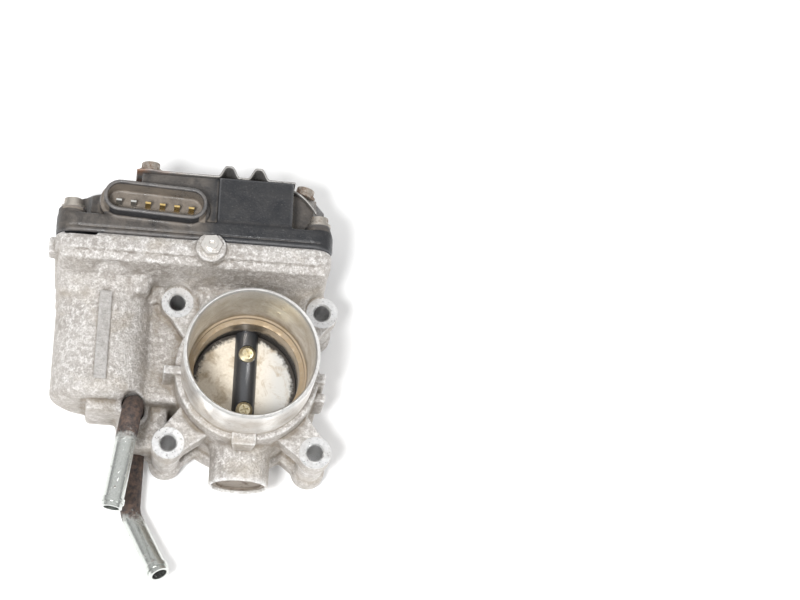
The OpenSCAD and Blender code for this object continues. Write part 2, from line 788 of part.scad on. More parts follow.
module upper_coolant_pipe() {
    color(zinc) translate(upper_pipe_at) coolant_pipe(upper_steps);
}

module lower_coolant_pipe() {
    color(zinc) translate([-44.5, -22, 8]) rotate([90, 0, 0]) coolant_pipe(lower_steps);
}

housing();
end_plug();
throttle_shaft();
throttle_plate();
plate_screws();
cover_side_bearing();
end_side_bearing();
cover_side_seal();
end_side_seal();
return_spring();
sector_gear();
sector_magnets();
intermediate_gear();
intermediate_pin();
motor_can();
motor_end_cap();
motor_shaft();
motor_pinion();
motor_terminals();
motor_plate();
motor_plate_screws();
motor_wave_spring();
gear_cover();
cover_gasket();
connector_pins();
sensor_board();
sensor_chip();
heat_shield();
shield_screws();
cover_screws();
stop_screw();
stop_nut();
upper_coolant_pipe();
lower_coolant_pipe();
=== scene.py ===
import math

import bpy
import numpy as np
from mathutils import Matrix, Vector


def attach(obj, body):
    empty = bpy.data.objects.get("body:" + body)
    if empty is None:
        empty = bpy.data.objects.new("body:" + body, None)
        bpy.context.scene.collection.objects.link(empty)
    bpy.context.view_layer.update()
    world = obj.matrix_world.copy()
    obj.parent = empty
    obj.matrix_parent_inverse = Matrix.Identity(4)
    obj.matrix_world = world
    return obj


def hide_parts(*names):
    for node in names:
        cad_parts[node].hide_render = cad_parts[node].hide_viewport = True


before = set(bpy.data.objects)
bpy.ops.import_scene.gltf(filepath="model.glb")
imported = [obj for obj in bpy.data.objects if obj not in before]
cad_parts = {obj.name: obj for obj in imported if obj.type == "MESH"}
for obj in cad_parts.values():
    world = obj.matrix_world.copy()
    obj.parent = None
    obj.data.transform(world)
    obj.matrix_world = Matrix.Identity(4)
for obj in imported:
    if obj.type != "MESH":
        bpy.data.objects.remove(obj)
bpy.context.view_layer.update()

MM = 0.001
FAR = 1e3

# ---- measures shared with the CAD frame, in millimetres ----
SHAFT_Z = 26.6
HALF_PITCH = 31.0
EAR_TOP = 38.8
NECK_TOP = 75.3
NECK_BASE = 48.2
MOTOR_X = -61.5
MOTOR_R = 20.8
SPLIT_Y = 51.5
RIM_TOP = 60.0
CASE = (-84.3, -5.0, 32.5, 63.0)
RIM_CORNER = 8.0
COVER_SCREWS = ((-78.0, 56.0), (-78.0, 4.0), (26.5, 56.0), (26.5, 4.0))
BOSS_TOP = 63.2
PLATEAU_TOP = 71.0
BLOCK_TOP = 80.8


# ---- distance-field modelling: smooth unions give cast and moulded fillets ----
def rounded_edge(across, along):
    outside = np.hypot(np.maximum(across, 0), np.maximum(along, 0))
    return outside + np.minimum(np.maximum(across, along), 0)


def dist_box(low, high, soft=0.0):
    low, high = np.array(low, float), np.array(high, float)
    mid, half = (low + high) / 2, (high - low) / 2 - soft

    def field(x, y, z):
        q = [abs(c - m) - h for c, m, h in zip((x, y, z), mid, half)]
        outside = np.sqrt(sum(np.maximum(c, 0) ** 2 for c in q))
        return outside + np.minimum(np.maximum(np.maximum(q[0], q[1]), q[2]), 0) - soft

    return field, low, high


def dist_cyl(axis, centre, radius, start, end, soft=0.0):
    """A round bar along x, y or z. centre holds the two other coordinates."""
    k = "xyz".index(axis)
    others = [i for i in range(3) if i != k]
    low, high = np.zeros(3), np.zeros(3)
    low[k], high[k] = start, end
    for i, c in zip(others, centre):
        low[i], high[i] = c - radius, c + radius

    def field(x, y, z):
        p = (x, y, z)
        across = np.hypot(p[others[0]] - centre[0], p[others[1]] - centre[1]) - radius + soft
        along = abs(p[k] - (start + end) / 2) - (end - start) / 2 + soft
        return rounded_edge(across, along) - soft

    return field, low, high


def flat_distance(points, u, v):
    """Signed distance to a closed polygon in a plane."""
    best = np.full(np.broadcast(u, v).shape, FAR)
    inside = np.zeros(best.shape, bool)
    for (u0, v0), (u1, v1) in zip(points, points[1:] + points[:1]):
        du, dv = u1 - u0, v1 - v0
        t = np.clip(((u - u0) * du + (v - v0) * dv) / (du * du + dv * dv), 0, 1)
        best = np.minimum(best, np.hypot(u - u0 - t * du, v - v0 - t * dv))
        if v0 != v1:
            crosses = ((v0 <= v) != (v1 <= v)) & (u < u0 + (v - v0) * du / dv)
            inside ^= crosses
    return np.where(inside, -best, best)


def dist_prism(axis, points, start, end, grow=0.0, soft=0.0):
    """A polygon drawn in the two other axes and run along axis, its corners rounded by grow."""
    k = "xyz".index(axis)
    others = [i for i in range(3) if i != k]
    outline = np.array(points, float)
    low, high = np.zeros(3), np.zeros(3)
    low[k], high[k] = start, end
    low[others], high[others] = outline.min(0) - grow, outline.max(0) + grow

    def field(x, y, z):
        p = (x, y, z)
        across = flat_distance(list(points), p[others[0]], p[others[1]]) - grow + soft
        along = abs(p[k] - (start + end) / 2) - (end - start) / 2 + soft
        return rounded_edge(across, along) - soft

    return field, low, high


def dist_rod(a, b, radius):
    """A round-ended rod between two points."""
    a, b = np.array(a, float), np.array(b, float)
    d = b - a

    def field(x, y, z):
        t = np.clip(((x - a[0]) * d[0] + (y - a[1]) * d[1] + (z - a[2]) * d[2]) / (d @ d), 0, 1)
        across, up, out = x - a[0] - t * d[0], y - a[1] - t * d[1], z - a[2] - t * d[2]
        return np.sqrt(across ** 2 + up ** 2 + out ** 2) - radius

    return field, np.minimum(a, b) - radius, np.maximum(a, b) + radius


def turned(shape, centre, degrees):
    """The shape turned about a line along z through centre."""
    field, low, high = shape
    c, s = math.cos(math.radians(degrees)), math.sin(math.radians(degrees))
    cx, cy = centre

    def turned_field(x, y, z):
        dx, dy = x - cx, y - cy
        return field(cx + c * dx + s * dy, cy - s * dx + c * dy, z)

    corners = [(cx + c * (x - cx) - s * (y - cy), cy + s * (x - cx) + c * (y - cy))
        for x in (low[0], high[0]) for y in (low[1], high[1])]
    flat = np.array(corners)
    return turned_field, np.array([*flat.min(0), low[2]]), np.array([*flat.max(0), high[2]])


class Clay:
    """A block of space whose distance field is shaped by adding and cutting."""

    def __init__(self, low, high, step):
        self.low, self.step = np.array(low, float), step
        counts = np.ceil((np.array(high, float) - self.low) / step).astype(int) + 1
        self.axes = [self.low[i] + step * np.arange(counts[i]) for i in range(3)]
        self.field = np.full(counts, 4.0, np.float32)

    def part(self, low, high, margin):
        slices, grids = [], []
        for i, axis in enumerate(self.axes):
            start = int(np.searchsorted(axis, low[i] - margin))
            end = max(int(np.searchsorted(axis, high[i] + margin)), start + 1)
            slices.append(slice(start, end))
            shape = [1, 1, 1]
            shape[i] = -1
            grids.append(axis[start:end].reshape(shape).astype(np.float32))
        return tuple(slices), grids

    def add(self, shape, blend=0.0):
        field, low, high = shape
        where, grids = self.part(low, high, blend + 3)
        old, new = self.field[where], field(*grids).astype(np.float32)
        lower = np.minimum(old, new)
        if blend:
            lower -= np.maximum(blend - abs(old - new), 0) ** 2 / (4 * blend)
        self.field[where] = lower

    def cut(self, shape, blend=0.0):
        field, low, high = shape
        where, grids = self.part(low, high, blend + 3)
        old, new = self.field[where], -field(*grids).astype(np.float32)
        upper = np.maximum(old, new)
        if blend:
            upper += np.maximum(blend - abs(old - new), 0) ** 2 / (4 * blend)
        self.field[where] = upper

    def surface(self):
        """Points and four-sided faces of the zero surface, by surface nets."""
        f = self.field
        inside = f < 0
        shape = np.array(f.shape) - 1
        total = np.zeros((*shape, 3), np.float32)
        count = np.zeros(shape, np.float32)
        offsets = [(0, 0), (0, 1), (1, 0), (1, 1)]
        for k in range(3):
            others = [i for i in range(3) if i != k]
            for a, b in offsets:
                lower, upper = [None] * 3, [None] * 3
                lower[k], upper[k] = slice(0, shape[k]), slice(1, shape[k] + 1)
                for o, d in zip(others, (a, b)):
                    lower[o] = upper[o] = slice(d, shape[o] + d)
                f0, f1 = f[tuple(lower)], f[tuple(upper)]
                hit = inside[tuple(lower)] != inside[tuple(upper)]
                t = np.where(hit, f0 / np.where(hit, f0 - f1, 1), 0)
                total[..., k] += t
                total[..., others[0]] += a * hit
                total[..., others[1]] += b * hit
                count += hit
        cells = count > 0
        index = np.full(shape, -1, np.int64)
        index[cells] = np.arange(int(cells.sum()))
        places = np.argwhere(cells)
        points = self.low + self.step * (places + total[cells] / count[cells][:, None])
        faces = []
        for k in range(3):
            u, v = [(1, 2), (2, 0), (0, 1)][k]
            lower, upper = [slice(None)] * 3, [slice(None)] * 3
            lower[k], upper[k] = slice(0, shape[k]), slice(1, shape[k] + 1)
            for o in (u, v):
                lower[o] = upper[o] = slice(1, shape[o])
            a, b = inside[tuple(lower)], inside[tuple(upper)]
            edges = np.argwhere(a != b)
            flip = ~a[tuple(edges.T)]
            base = edges.copy()
            base[:, u] += 1
            base[:, v] += 1
            ring = []
            for du, dv in ((0, 0), (-1, 0), (-1, -1), (0, -1)):
                cell = base.copy()
                cell[:, u] += du
                cell[:, v] += dv
                ring.append(index[tuple(cell.T)])
            quad = np.stack(ring, 1)
            quad[flip] = quad[flip][:, ::-1]
            faces.append(quad)
        return points, np.vstack(faces)


def relaxed(points, quads, rounds, keep):
    """Points moved part of the way to their neighbours' mean, round after round, where keep is 0."""
    n = len(points)
    pairs = np.vstack([quads[:, [0, 1]], quads[:, [1, 2]], quads[:, [2, 3]], quads[:, [3, 0]]])
    degree = np.bincount(pairs.ravel(), minlength=n)[:, None]
    share = 0.5 * (1 - keep)[:, None]
    for _ in range(rounds):
        total = np.zeros_like(points)
        for a, b in ((0, 1), (1, 0)):
            for axis in range(3):
                total[:, axis] += np.bincount(pairs[:, a], points[pairs[:, b], axis], n)
        points = points + share * (total / degree - points)
    return points


def blurred(field, reach):
    """The field averaged over a box of reach cells each way."""
    out = field.astype(np.float64)
    for axis in range(3):
        padded = np.concatenate([np.repeat(np.take(out, [0], axis), reach + 1, axis), out,
            np.repeat(np.take(out, [-1], axis), reach, axis)], axis)
        total = np.cumsum(padded, axis)
        n = out.shape[axis]
        upper = np.take(total, np.arange(2 * reach + 1, 2 * reach + 1 + n), axis)
        lower = np.take(total, np.arange(0, n), axis)
        out = (upper - lower) / (2 * reach + 1)
    return out


# ---- making pieces ----
def piece(name, points_mm, faces, body, material, smooth=True):
    mesh = bpy.data.meshes.new(name)
    faces = faces.tolist() if isinstance(faces, np.ndarray) else faces
    mesh.from_pydata((np.array(points_mm, float) * MM).tolist(), [], faces)
    mesh.update()
    mesh.shade_smooth() if smooth else mesh.shade_flat()
    obj = bpy.data.objects.new(name, mesh)
    bpy.context.scene.collection.objects.link(obj)
    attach(obj, body)
    mesh.materials.append(material)
    return obj


def attribute(obj, name, values):
    layer = obj.data.attributes.new(name, "FLOAT", "POINT")
    layer.data.foreach_set("value", np.asarray(values, np.float32))


def sharp_by_angle(obj, degrees):
    obj.data.set_sharp_from_angle(angle=math.radians(degrees))


def lathe(name, profile, centre, axis, body, material, sides=160, angle=30):
    """A closed profile of (radius, height) points turned about an axis through centre."""
    axis = Vector(axis).normalized()
    turn = Vector((0, 0, 1)).rotation_difference(axis).to_matrix()
    points = []
    for i in range(sides):
        a = 2 * math.pi * i / sides
        for r, h in profile:
            points.append(Vector(centre) + turn @ Vector((r * math.cos(a), r * math.sin(a), h)))
    n = len(profile)
    faces = []
    for i in range(sides):
        j = (i + 1) % sides
        for k in range(n):
            m = (k + 1) % n
            faces.append((i * n + k, j * n + k, j * n + m, i * n + m))
    obj = piece(name, points, faces, body, material)
    sharp_by_angle(obj, angle)
    return obj


# ---- materials ----
class Paint:
    """A Principled material put together from procedural nodes in object space."""

    def __init__(self, name, **constants):
        self.material = bpy.data.materials.new(name)
        self.material.use_nodes = True
        self.tree = self.material.node_tree
        self.shader = self.tree.nodes["Principled BSDF"]
        self.place = self.tree.nodes.new("ShaderNodeTexCoord").outputs["Object"]
        for key, value in constants.items():
            self.shader.inputs[key.replace("_", " ")].default_value = value

    def link(self, source, socket):
        if isinstance(source, bpy.types.NodeSocket):
            self.tree.links.new(source, socket)
        else:
            socket.default_value = source

    def noise(self, scale, detail=5.0, rough=0.6, distort=0.0, stretch=(1, 1, 1)):
        move = self.tree.nodes.new("ShaderNodeMapping")
        move.inputs["Scale"].default_value = stretch
        self.link(self.place, move.inputs["Vector"])
        node = self.tree.nodes.new("ShaderNodeTexNoise")
        node.inputs["Scale"].default_value = scale
        node.inputs["Detail"].default_value = detail
        node.inputs["Roughness"].default_value = rough
        node.inputs["Distortion"].default_value = distort
        self.link(move.outputs["Vector"], node.inputs["Vector"])
        return node.outputs["Fac"]

    def given(self, name):
        node = self.tree.nodes.new("ShaderNodeAttribute")
        node.attribute_name = name
        return node.outputs["Fac"]

    def axis(self, letter):
        node = self.tree.nodes.new("ShaderNodeSeparateXYZ")
        self.link(self.place, node.inputs[0])
        return node.outputs[letter]

    def facing(self, letter):
        geometry = self.tree.nodes.new("ShaderNodeNewGeometry")
        node = self.tree.nodes.new("ShaderNodeSeparateXYZ")
        self.link(geometry.outputs["Normal"], node.inputs[0])
        return node.outputs[letter]

    def calc(self, operation, a, b=0.0):
        node = self.tree.nodes.new("ShaderNodeMath")
        node.operation = operation
        self.link(a, node.inputs[0])
        self.link(b, node.inputs[1])
        return node.outputs[0]

    def step(self, value, start, end, low=0.0, high=1.0):
        """value mapped from start..end to low..high and clamped."""
        node = self.tree.nodes.new("ShaderNodeMapRange")
        self.link(value, node.inputs["Value"])
        for key, number in (("From Min", start), ("From Max", end), ("To Min", low), ("To Max", high)):
            node.inputs[key].default_value = number
        return node.outputs["Result"]

    def blend(self, share, a, b):
        node = self.tree.nodes.new("ShaderNodeMix")
        node.data_type = "RGBA"
        colour = lambda c: c if isinstance(c, bpy.types.NodeSocket) else (*c, 1)
        self.link(share, node.inputs["Factor"])
        self.link(colour(a), node.inputs["A"])
        self.link(colour(b), node.inputs["B"])
        return node.outputs["Result"]

    def bump(self, height, depth_mm, under=None):
        node = self.tree.nodes.new("ShaderNodeBump")
        node.inputs["Strength"].default_value = 1
        node.inputs["Distance"].default_value = depth_mm * MM
        self.link(height, node.inputs["Height"])
        if under is not None:
            self.link(under, node.inputs["Normal"])
        return node.outputs["Normal"]

    def finish(self, colour, rough, metal=0.0, normal=None):
        if not isinstance(colour, bpy.types.NodeSocket):
            colour = (*colour, 1)
        self.link(colour, self.shader.inputs["Base Color"])
        self.link(rough, self.shader.inputs["Roughness"])
        self.link(metal, self.shader.inputs["Metallic"])
        if normal is not None:
            self.link(normal, self.shader.inputs["Normal"])
        return self.material


def cast_aluminium():
    p = Paint("cast aluminium")
    tone = p.noise(70, 4)
    mottle = p.noise(420, 6, 0.7)
    grain = p.noise(1100, 4, 0.75)
    specks = p.step(p.noise(900, 6, 0.8), 0.62, 0.72)
    cavity = p.given("cavity")
    worn = p.given("worn")
    base = p.blend(p.step(tone, 0.38, 0.62), (0.44, 0.41, 0.385), (0.62, 0.595, 0.57))
    base = p.blend(p.step(mottle, 0.44, 0.58), base, (0.82, 0.80, 0.78))
    base = p.blend(p.calc("MULTIPLY", p.step(grain, 0.42, 0.58), 0.6), base, (0.33, 0.30, 0.27))
    base = p.blend(p.calc("MULTIPLY", specks, 0.7), base, (0.20, 0.17, 0.15))
    # painted shade: faces turned away from +Z (the steep walls) take the hollows' brown dirt colour as their
    # shade; in the hollows the brown is dirt
    steep = p.step(p.facing("Z"), 0.75, 0.2)
    cavity = p.calc("ADD", p.calc("MULTIPLY", cavity, 1.3), p.calc("MULTIPLY", steep, 0.42))
    cavity = p.calc("MINIMUM", cavity, 1.0)
    grime_and_shade = p.calc("MULTIPLY", cavity, p.step(p.noise(160, 6, 0.7), 0.3, 0.65, 0.45, 1.0))
    base = p.blend(grime_and_shade, base, (0.24, 0.20, 0.155))
    patch = p.calc("MULTIPLY", p.step(p.noise(38, 6, 0.65, 0.4), 0.52, 0.68), 0.5)
    base = p.blend(patch, base, (0.42, 0.36, 0.28))
    edge = p.calc("MULTIPLY", worn, p.step(mottle, 0.3, 0.6))
    base = p.blend(edge, base, (0.92, 0.92, 0.92))
    # flat strip on the motor housing
    bar = p.calc("MULTIPLY", p.step(p.axis("Z"), 0.0483, 0.0486), p.step(p.axis("Y"), 0.0315, 0.0310))
    from_middle = p.calc("ABSOLUTE", p.calc("ADD", p.axis("X"), 0.0615))
    bar = p.calc("MULTIPLY", bar, p.step(from_middle, 0.0029, 0.0027))
    smooth = p.blend(p.step(mottle, 0.3, 0.7), (0.36, 0.345, 0.33), (0.50, 0.485, 0.47))
    base = p.blend(p.calc("MULTIPLY", bar, 0.75), base, smooth)
    height = p.calc("ADD", p.calc("MULTIPLY", grain, 0.45), mottle)
    rough = p.step(mottle, 0.3, 0.7, 0.40, 0.60)
    return p.finish(base, rough, 0.5, p.bump(height, 1.1))


def machined_aluminium(name, dirt=(0.30, 0.24, 0.17), share=0.4, stretch=(1, 1, 12)):
    p = Paint(name)
    lines = p.noise(700, 3, 0.6, 0, stretch)
    stain = p.step(p.noise(110, 6, 0.7, 0.5), 0.48, 0.72)
    base = p.blend(p.step(lines, 0.3, 0.7), (0.62, 0.62, 0.62), (0.80, 0.80, 0.80))
    base = p.blend(p.calc("MULTIPLY", stain, share), base, dirt)
    rough = p.step(lines, 0.3, 0.7, 0.24, 0.42)
    return p.finish(base, rough, 0.85, p.bump(lines, 0.05))


def bore_aluminium():
    """Machined bore: brown film, a carbon ring at the plate and a brown ledge ring."""
    p = Paint("bore aluminium")
    z = p.axis("Z")
    lines = p.noise(500, 3, 0.6, 0, (1, 1, 10))
    film = p.step(p.noise(90, 6, 0.7, 0.6), 0.35, 0.7)
    base = p.blend(p.step(lines, 0.3, 0.7), (0.66, 0.65, 0.63), (0.86, 0.85, 0.83))
    inside = p.step(z, 0.0735, 0.066)
    base = p.blend(p.calc("MULTIPLY", film, p.calc("MULTIPLY", inside, 0.75)), base, (0.36, 0.29, 0.20))
    ragged = p.calc("ADD", z, p.calc("MULTIPLY", p.calc("SUBTRACT", p.noise(260, 5, 0.7), 0.5), 0.008))
    ledge = p.calc("MULTIPLY", p.step(ragged, 0.0415, 0.0430), p.step(ragged, 0.0520, 0.0470))
    base = p.blend(p.calc("MULTIPLY", ledge, 0.85), base, (0.25, 0.175, 0.09))
    ring = p.calc("MULTIPLY", p.step(ragged, 0.0150, 0.0200), p.step(ragged, 0.0355, 0.0325))
    tar = p.calc("MULTIPLY", p.step(ragged, 0.0300, 0.0340), p.step(ragged, 0.0440, 0.0425))
    base = p.blend(p.calc("MULTIPLY", tar, 0.7), base, (0.30, 0.21, 0.11))
    carbon = p.noise(1300, 4, 0.8)
    soot = p.blend(p.step(carbon, 0.55, 0.75), (0.015, 0.013, 0.012), (0.16, 0.14, 0.12))
    base = p.blend(ring, base, soot)
    dull = p.calc("MAXIMUM", ring, ledge)
    metal = p.step(dull, 0.0, 1.0, 0.85, 0.1)
    rough = p.calc("ADD", p.step(lines, 0.3, 0.7, 0.26, 0.42), p.calc("MULTIPLY", ledge, 0.3))
    height = p.calc("MULTIPLY", p.calc("MULTIPLY", carbon, ring), 1.0)
    return p.finish(base, rough, metal, p.bump(height, 0.7, p.bump(lines, 0.04)))


def plastic(name, colour=(0.007, 0.009, 0.013), dust=(0.26, 0.22, 0.18), share=0.6):
    """Black moulded plastic with brown dust that lies in the corners and on faces towards +Z."""
    p = Paint(name)
    grain = p.noise(1200, 3, 0.6)
    spread = p.noise(130, 6, 0.7, 0.3)
    cavity = p.given("cavity")
    up = p.step(p.facing("Z"), 0.2, 0.9)
    amount = p.calc("ADD", p.calc("MULTIPLY", cavity, 1.0), p.calc("MULTIPLY", up, 0.06))
    right = p.calc("MULTIPLY", p.step(p.axis("X"), 0.0146, 0.0152), p.step(p.axis("Y"), 0.0601, 0.0606))
    left = p.calc("MAXIMUM", p.step(p.axis("X"), -0.018, -0.024), right)
    left = p.calc("MULTIPLY", left, p.step(p.facing("Z"), 0.15, 0.6))
    amount = p.calc("ADD", amount, p.calc("MULTIPLY", left, 0.55))
    amount = p.calc("MULTIPLY", p.calc("ADD", amount, 0.05), p.step(spread, 0.3, 0.7, 0.15, 1.0))
    # dust that lies in the plug socket
    across = p.calc("SUBTRACT", p.axis("Y"), p.calc("ADD", p.calc("MULTIPLY", p.axis("X"), -0.0437), 0.0638))
    level = p.calc("MULTIPLY", p.step(p.axis("Z"), 0.0695, 0.0680), p.step(p.axis("Z"), 0.0600, 0.0603))
    socket = p.calc("MULTIPLY", level, p.step(p.calc("ABSOLUTE", across), 0.0057, 0.0055))
    socket = p.calc("MULTIPLY", socket, p.step(p.axis("X"), -0.0220, -0.0225))
    amount = p.calc("MAXIMUM", amount, p.calc("MULTIPLY", socket, p.step(spread, 0.25, 0.7, 0.5, 1.6)))
    base = p.blend(p.calc("MULTIPLY", amount, share), colour, dust)
    base = p.blend(p.calc("MULTIPLY", p.step(grain, 0.6, 0.8), 0.12), base, (0.5, 0.47, 0.42))
    base = p.blend(p.calc("MULTIPLY", p.given("worn"), 0.3), base, (0.34, 0.34, 0.35))
    rough = p.step(spread, 0.35, 0.65, 0.25, 0.6)
    return p.finish(base, rough, 0.0, p.bump(grain, 0.12, p.bump(spread, 0.5)))


def steel(name, base_colour, rust_share, rough=0.35, rust=(0.20, 0.085, 0.035), metal=0.9, scale=260):
    p = Paint(name)
    speckle = p.noise(scale, 7, 0.75, 0.3)
    fine = p.noise(scale * 5, 4, 0.7)
    amount = p.step(speckle, 0.66 - 0.34 * rust_share, 0.78 - 0.30 * rust_share)
    light = tuple(min(1, c * 1.18) for c in base_colour)
    base = p.blend(p.step(fine, 0.3, 0.7), base_colour, light)
    rust_tone = p.blend(p.step(fine, 0.35, 0.65), rust, tuple(c * 0.4 for c in rust))
    base = p.blend(amount, base, rust_tone)
    return p.finish(base, p.step(amount, 0, 1, rough, 0.85), p.step(amount, 0, 1, metal, 0.1),
        p.bump(p.calc("ADD", fine, p.calc("MULTIPLY", amount, 1.5)), 0.05))


def plain(name, colour, rough, metal=0.0, grain_mm=0.03, scale=900, spread=0.2):
    p = Paint(name)
    grain = p.noise(scale, 4, 0.6)
    dark = tuple(c * (1 - spread) for c in colour)
    light = tuple(min(1, c * (1 + spread)) for c in colour)
    roughness = p.step(grain, 0.3, 0.7, rough * 0.85, min(1, rough * 1.15))
    return p.finish(p.blend(p.step(grain, 0.3, 0.7), dark, light), roughness, metal, p.bump(grain, grain_mm))


# ---- the casting ----
def rounded_outline(x0, z0, x1, z1, r):
    return [(x0 + r, z0 + r), (x1 - r, z0 + r), (x1 - r, z1 - r), (x0 + r, z1 - r)], r


def case_prism(inset, start, end, soft=0.0, grow=0.0):
    x0, z0, x1, z1 = CASE
    r = RIM_CORNER - inset
    points, r = rounded_outline(x0 + inset, z0 + inset, x1 - inset, z1 - inset, r)
    return dist_prism("y", points, start, end, r + grow, soft)


def finish_clay(clay, name, body, material, rounds=2, reaches=(2, 5)):
    points, quads = clay.surface()
    keep = np.zeros(len(points))
    points = relaxed(points, quads, rounds, keep)
    cell = np.clip(np.floor((points - clay.low) / clay.step), 0, np.array(clay.field.shape) - 2).astype(int)
    share = (points - clay.low) / clay.step - cell
    values = {}
    for reach in reaches:
        soft_field = blurred(clay.field, reach)
        total = np.zeros(len(points))
        for corner in range(8):
            bits = np.array([(corner >> i) & 1 for i in range(3)])
            weight = np.prod(np.where(bits, share, 1 - share), axis=1)
            total += weight * soft_field[tuple((cell + bits).T)]
        values[reach] = total / clay.step
    obj = piece(name, points, quads, body, material)
    cavity = np.clip(-values[reaches[1]] / 1.6, 0, 1) + np.clip(-values[reaches[0]] / 0.6, 0, 1) * 0.6
    worn = np.clip((values[reaches[0]] - 0.25) / 0.6, 0, 1)
    attribute(obj, "cavity", np.clip(cavity, 0, 1))
    attribute(obj, "worn", worn)
    return obj


def make_casting():
    clay = Clay((-89, -47, -6.5), (39, 53, 69), 0.6)
    add, cut = clay.add, clay.cut
    # gear case: pan, slope towards the bore, thick lip at the joint
    skirt = [(31, 8), (38, -1.5), (45, -4), (45, 61.4), (41, 59), (36.5, 41), (31, 36)]
    add(dist_prism("x", skirt, -82.5, 31.5, 0, 3.0), 3)
    add(case_prism(0, 44.2, SPLIT_Y, 1.2), 0.8)
    # motor housing with its closed end
    add(dist_cyl("y", (MOTOR_X, SHAFT_Z), MOTOR_R, -12.6, 44, 2.6), 3)
    add(dist_cyl("y", (MOTOR_X, SHAFT_Z), 17.4, -14.0, 0, 2.0), 3.0)
    add(dist_box((-66.5, -18.5, 12), (-47.5, -8, 38), 2.0), 2)
    # block that carries the gear-side bearing, and the web to the motor
    add(dist_box((-22, 18, 3), (27, 42, 43), 5), 4)
    add(dist_box((-52, -12, 4), (-20, 40, 33), 2), 3)
    # body round the bore, engine flange
    add(dist_cyl("z", (0, 0), 33.1, 0, 9, 0.8), 2)
    add(dist_cyl("z", (0, 0), 30.5, 5, NECK_BASE, 0.9), 3)
    # shaft boss at the closed end
    add(dist_cyl("y", (0, SHAFT_Z), 12.7, -45.3, -18, 0.7), 4)
    # coolant chamber and the pad over it
    add(dist_box((-53, -30.5, 1), (-31.5, 5.5, 24), 3), 2)
    add(dist_cyl("z", (-46.5, -15.2), 7.0, 10, 27.5, 2.0), 2)
    add(dist_box((-54, -8, 1), (-30, 34, 11), 3), 3)
    # bolt bosses and arms
    for sx in (-1, 1):
        for sy in (-1, 1):
            x, y = sx * HALF_PITCH, sy * HALF_PITCH
            angle = math.degrees(math.atan2(sy, sx))
            wide = 8.5
            add(dist_cyl("z", (x, y), 5.9, 1, EAR_TOP - 1, 0.5), 0.8)
            add(dist_cyl("z", (x, y), 7.0, 0, 9, 0.9), 1.5)
            add(dist_cyl("z", (x, y), 7.0, EAR_TOP - 10, EAR_TOP, 0.7), 1.5)
            low_arm = dist_prism("z", [(18, -8.5), (43.8, -5), (43.8, 5), (18, 8.5)], 0.5, 8.8, 0, 0.8)
            arm = [(18, -wide), (29, -wide), (43.8, -6.3), (43.8, 6.3), (29, wide), (18, wide)]
            top_arm = dist_prism("z", arm,
                EAR_TOP - 10.5, EAR_TOP - 0.15, 0, 0.5)
            rib = dist_prism("z", [(18, -2.4), (42, -2.2), (42, 2.2), (18, 2.4)], 1, EAR_TOP - 2, 0, 0.8)
            for shape in (low_arm, top_arm, rib):
                add(turned(shape, (0, 0), angle), 0.7)
    # raised bar and oval dimple on the motor housing
    add(dist_box((MOTOR_X - 2.7, -8, 42), (MOTOR_X + 2.7, 31, 48.9), 0.3))
    cut(dist_rod((-63.5, 37.4, 54.6), (-58.0, 37.4, 54.2), 4.6), 1.2)
    cut(dist_box((-80.5, 50.3, 59.5), (-67, 54, 66), 0.3), 0.2)
    # posts under the motor plate's screws
    for x, z in ((-77.5, 12.6), (-77.5, 40.6), (-47.5, 44.1)):
        add(dist_cyl("y", (x, z), 4.4, 31, 44, 2.0), 4)
    # stop screw boss, wiring lug, hose clamp stops
    add(dist_cyl("z", (-19.2, 47.5), 6.4, 46, 66.5, 0.7), 2)
    add(dist_box((-86.9, 44.5, 44), (-78, 51.5, 53), 0.8), 1)
    stop = dist_prism("x", [(-5.2, 50.6), (5.2, 50.6), (4, 40), (-4, 40)], 22, 32.8, 0, 0.5)
    add(turned(stop, (0, 0), -90), 0.5)
    add(dist_box((-35.2, -4.2, 26), (-25, -0.4, 50.4), 0.6), 0.8)
    add(dist_box((25, -3.4, 26), (33.2, 0.6, 50.4), 0.6), 0.8)
    add(dist_box((25, -9, 20), (34.2, -5, 40), 0.8), 0.8)
    # machined planes
    cut(dist_box((-91, -50, -10), (45, 33.5, 0)))
    cut(dist_box((-32, SPLIT_Y, 40), (-6, 60, 63.3)))
    for sx in (-1, 1):
        for sy in (-1, 1):
            cut(dist_cyl("z", (sx * HALF_PITCH, sy * HALF_PITCH), 7.4, EAR_TOP - 0.1, 60), 0.4)
    # air path, a little wider than the machined liner that lies in it
    cut(dist_cyl("z", (0, 0), 25.5, -5, 16))
    cut(dist_cyl("z", (0, 0), 24.2, 15, 44))
    cut(dist_cyl("z", (0, 0), 27.2, 42, 80))
    cut(dist_cyl("z", (0, 0), 31.4, -5, 0.5))
    # shaft passage, bearing seats, plug recess, spring well, gear room
    cut(dist_cyl("y", (0, SHAFT_Z), 5.6, -30, 36))
    cut(dist_cyl("y", (0, SHAFT_Z), 9.7, -42.5, -26))
    cut(dist_cyl("y", (0, SHAFT_Z), 11.3, -47, -42.2), 0.5)
    cut(dist_cyl("y", (0, SHAFT_Z), 9.7, 25.8, 34))
    cut(dist_cyl("y", (0, SHAFT_Z), 17.6, 33.7, 55))
    cut(case_prism(3.3, 44.9, 56))
    cut(dist_box((-81, 39.8, 2.5), (29, 44, 48.5), 1.0))
    cut(dist_box((-81, 42.8, 2.5), (29, 47, 56), 1.0))
    cut(dist_cyl("y", (MOTOR_X, SHAFT_Z), 18.7, -9.6, 55))
    cut(dist_cyl("y", (-33.5, SHAFT_Z), 2.6, 37.5, 42))
    # coolant pipes' seats, with a ragged lead-in
    cut(dist_cyl("z", (-46.5, -15.2), 4.5, 8, 26), 0.4)
    cut(dist_cyl("z", (-46.5, -15.2), 4.9, 23, 62), 0.8)
    cut(dist_cyl("y", (-44.5, 8), 4.5, -34, -8), 0.4)
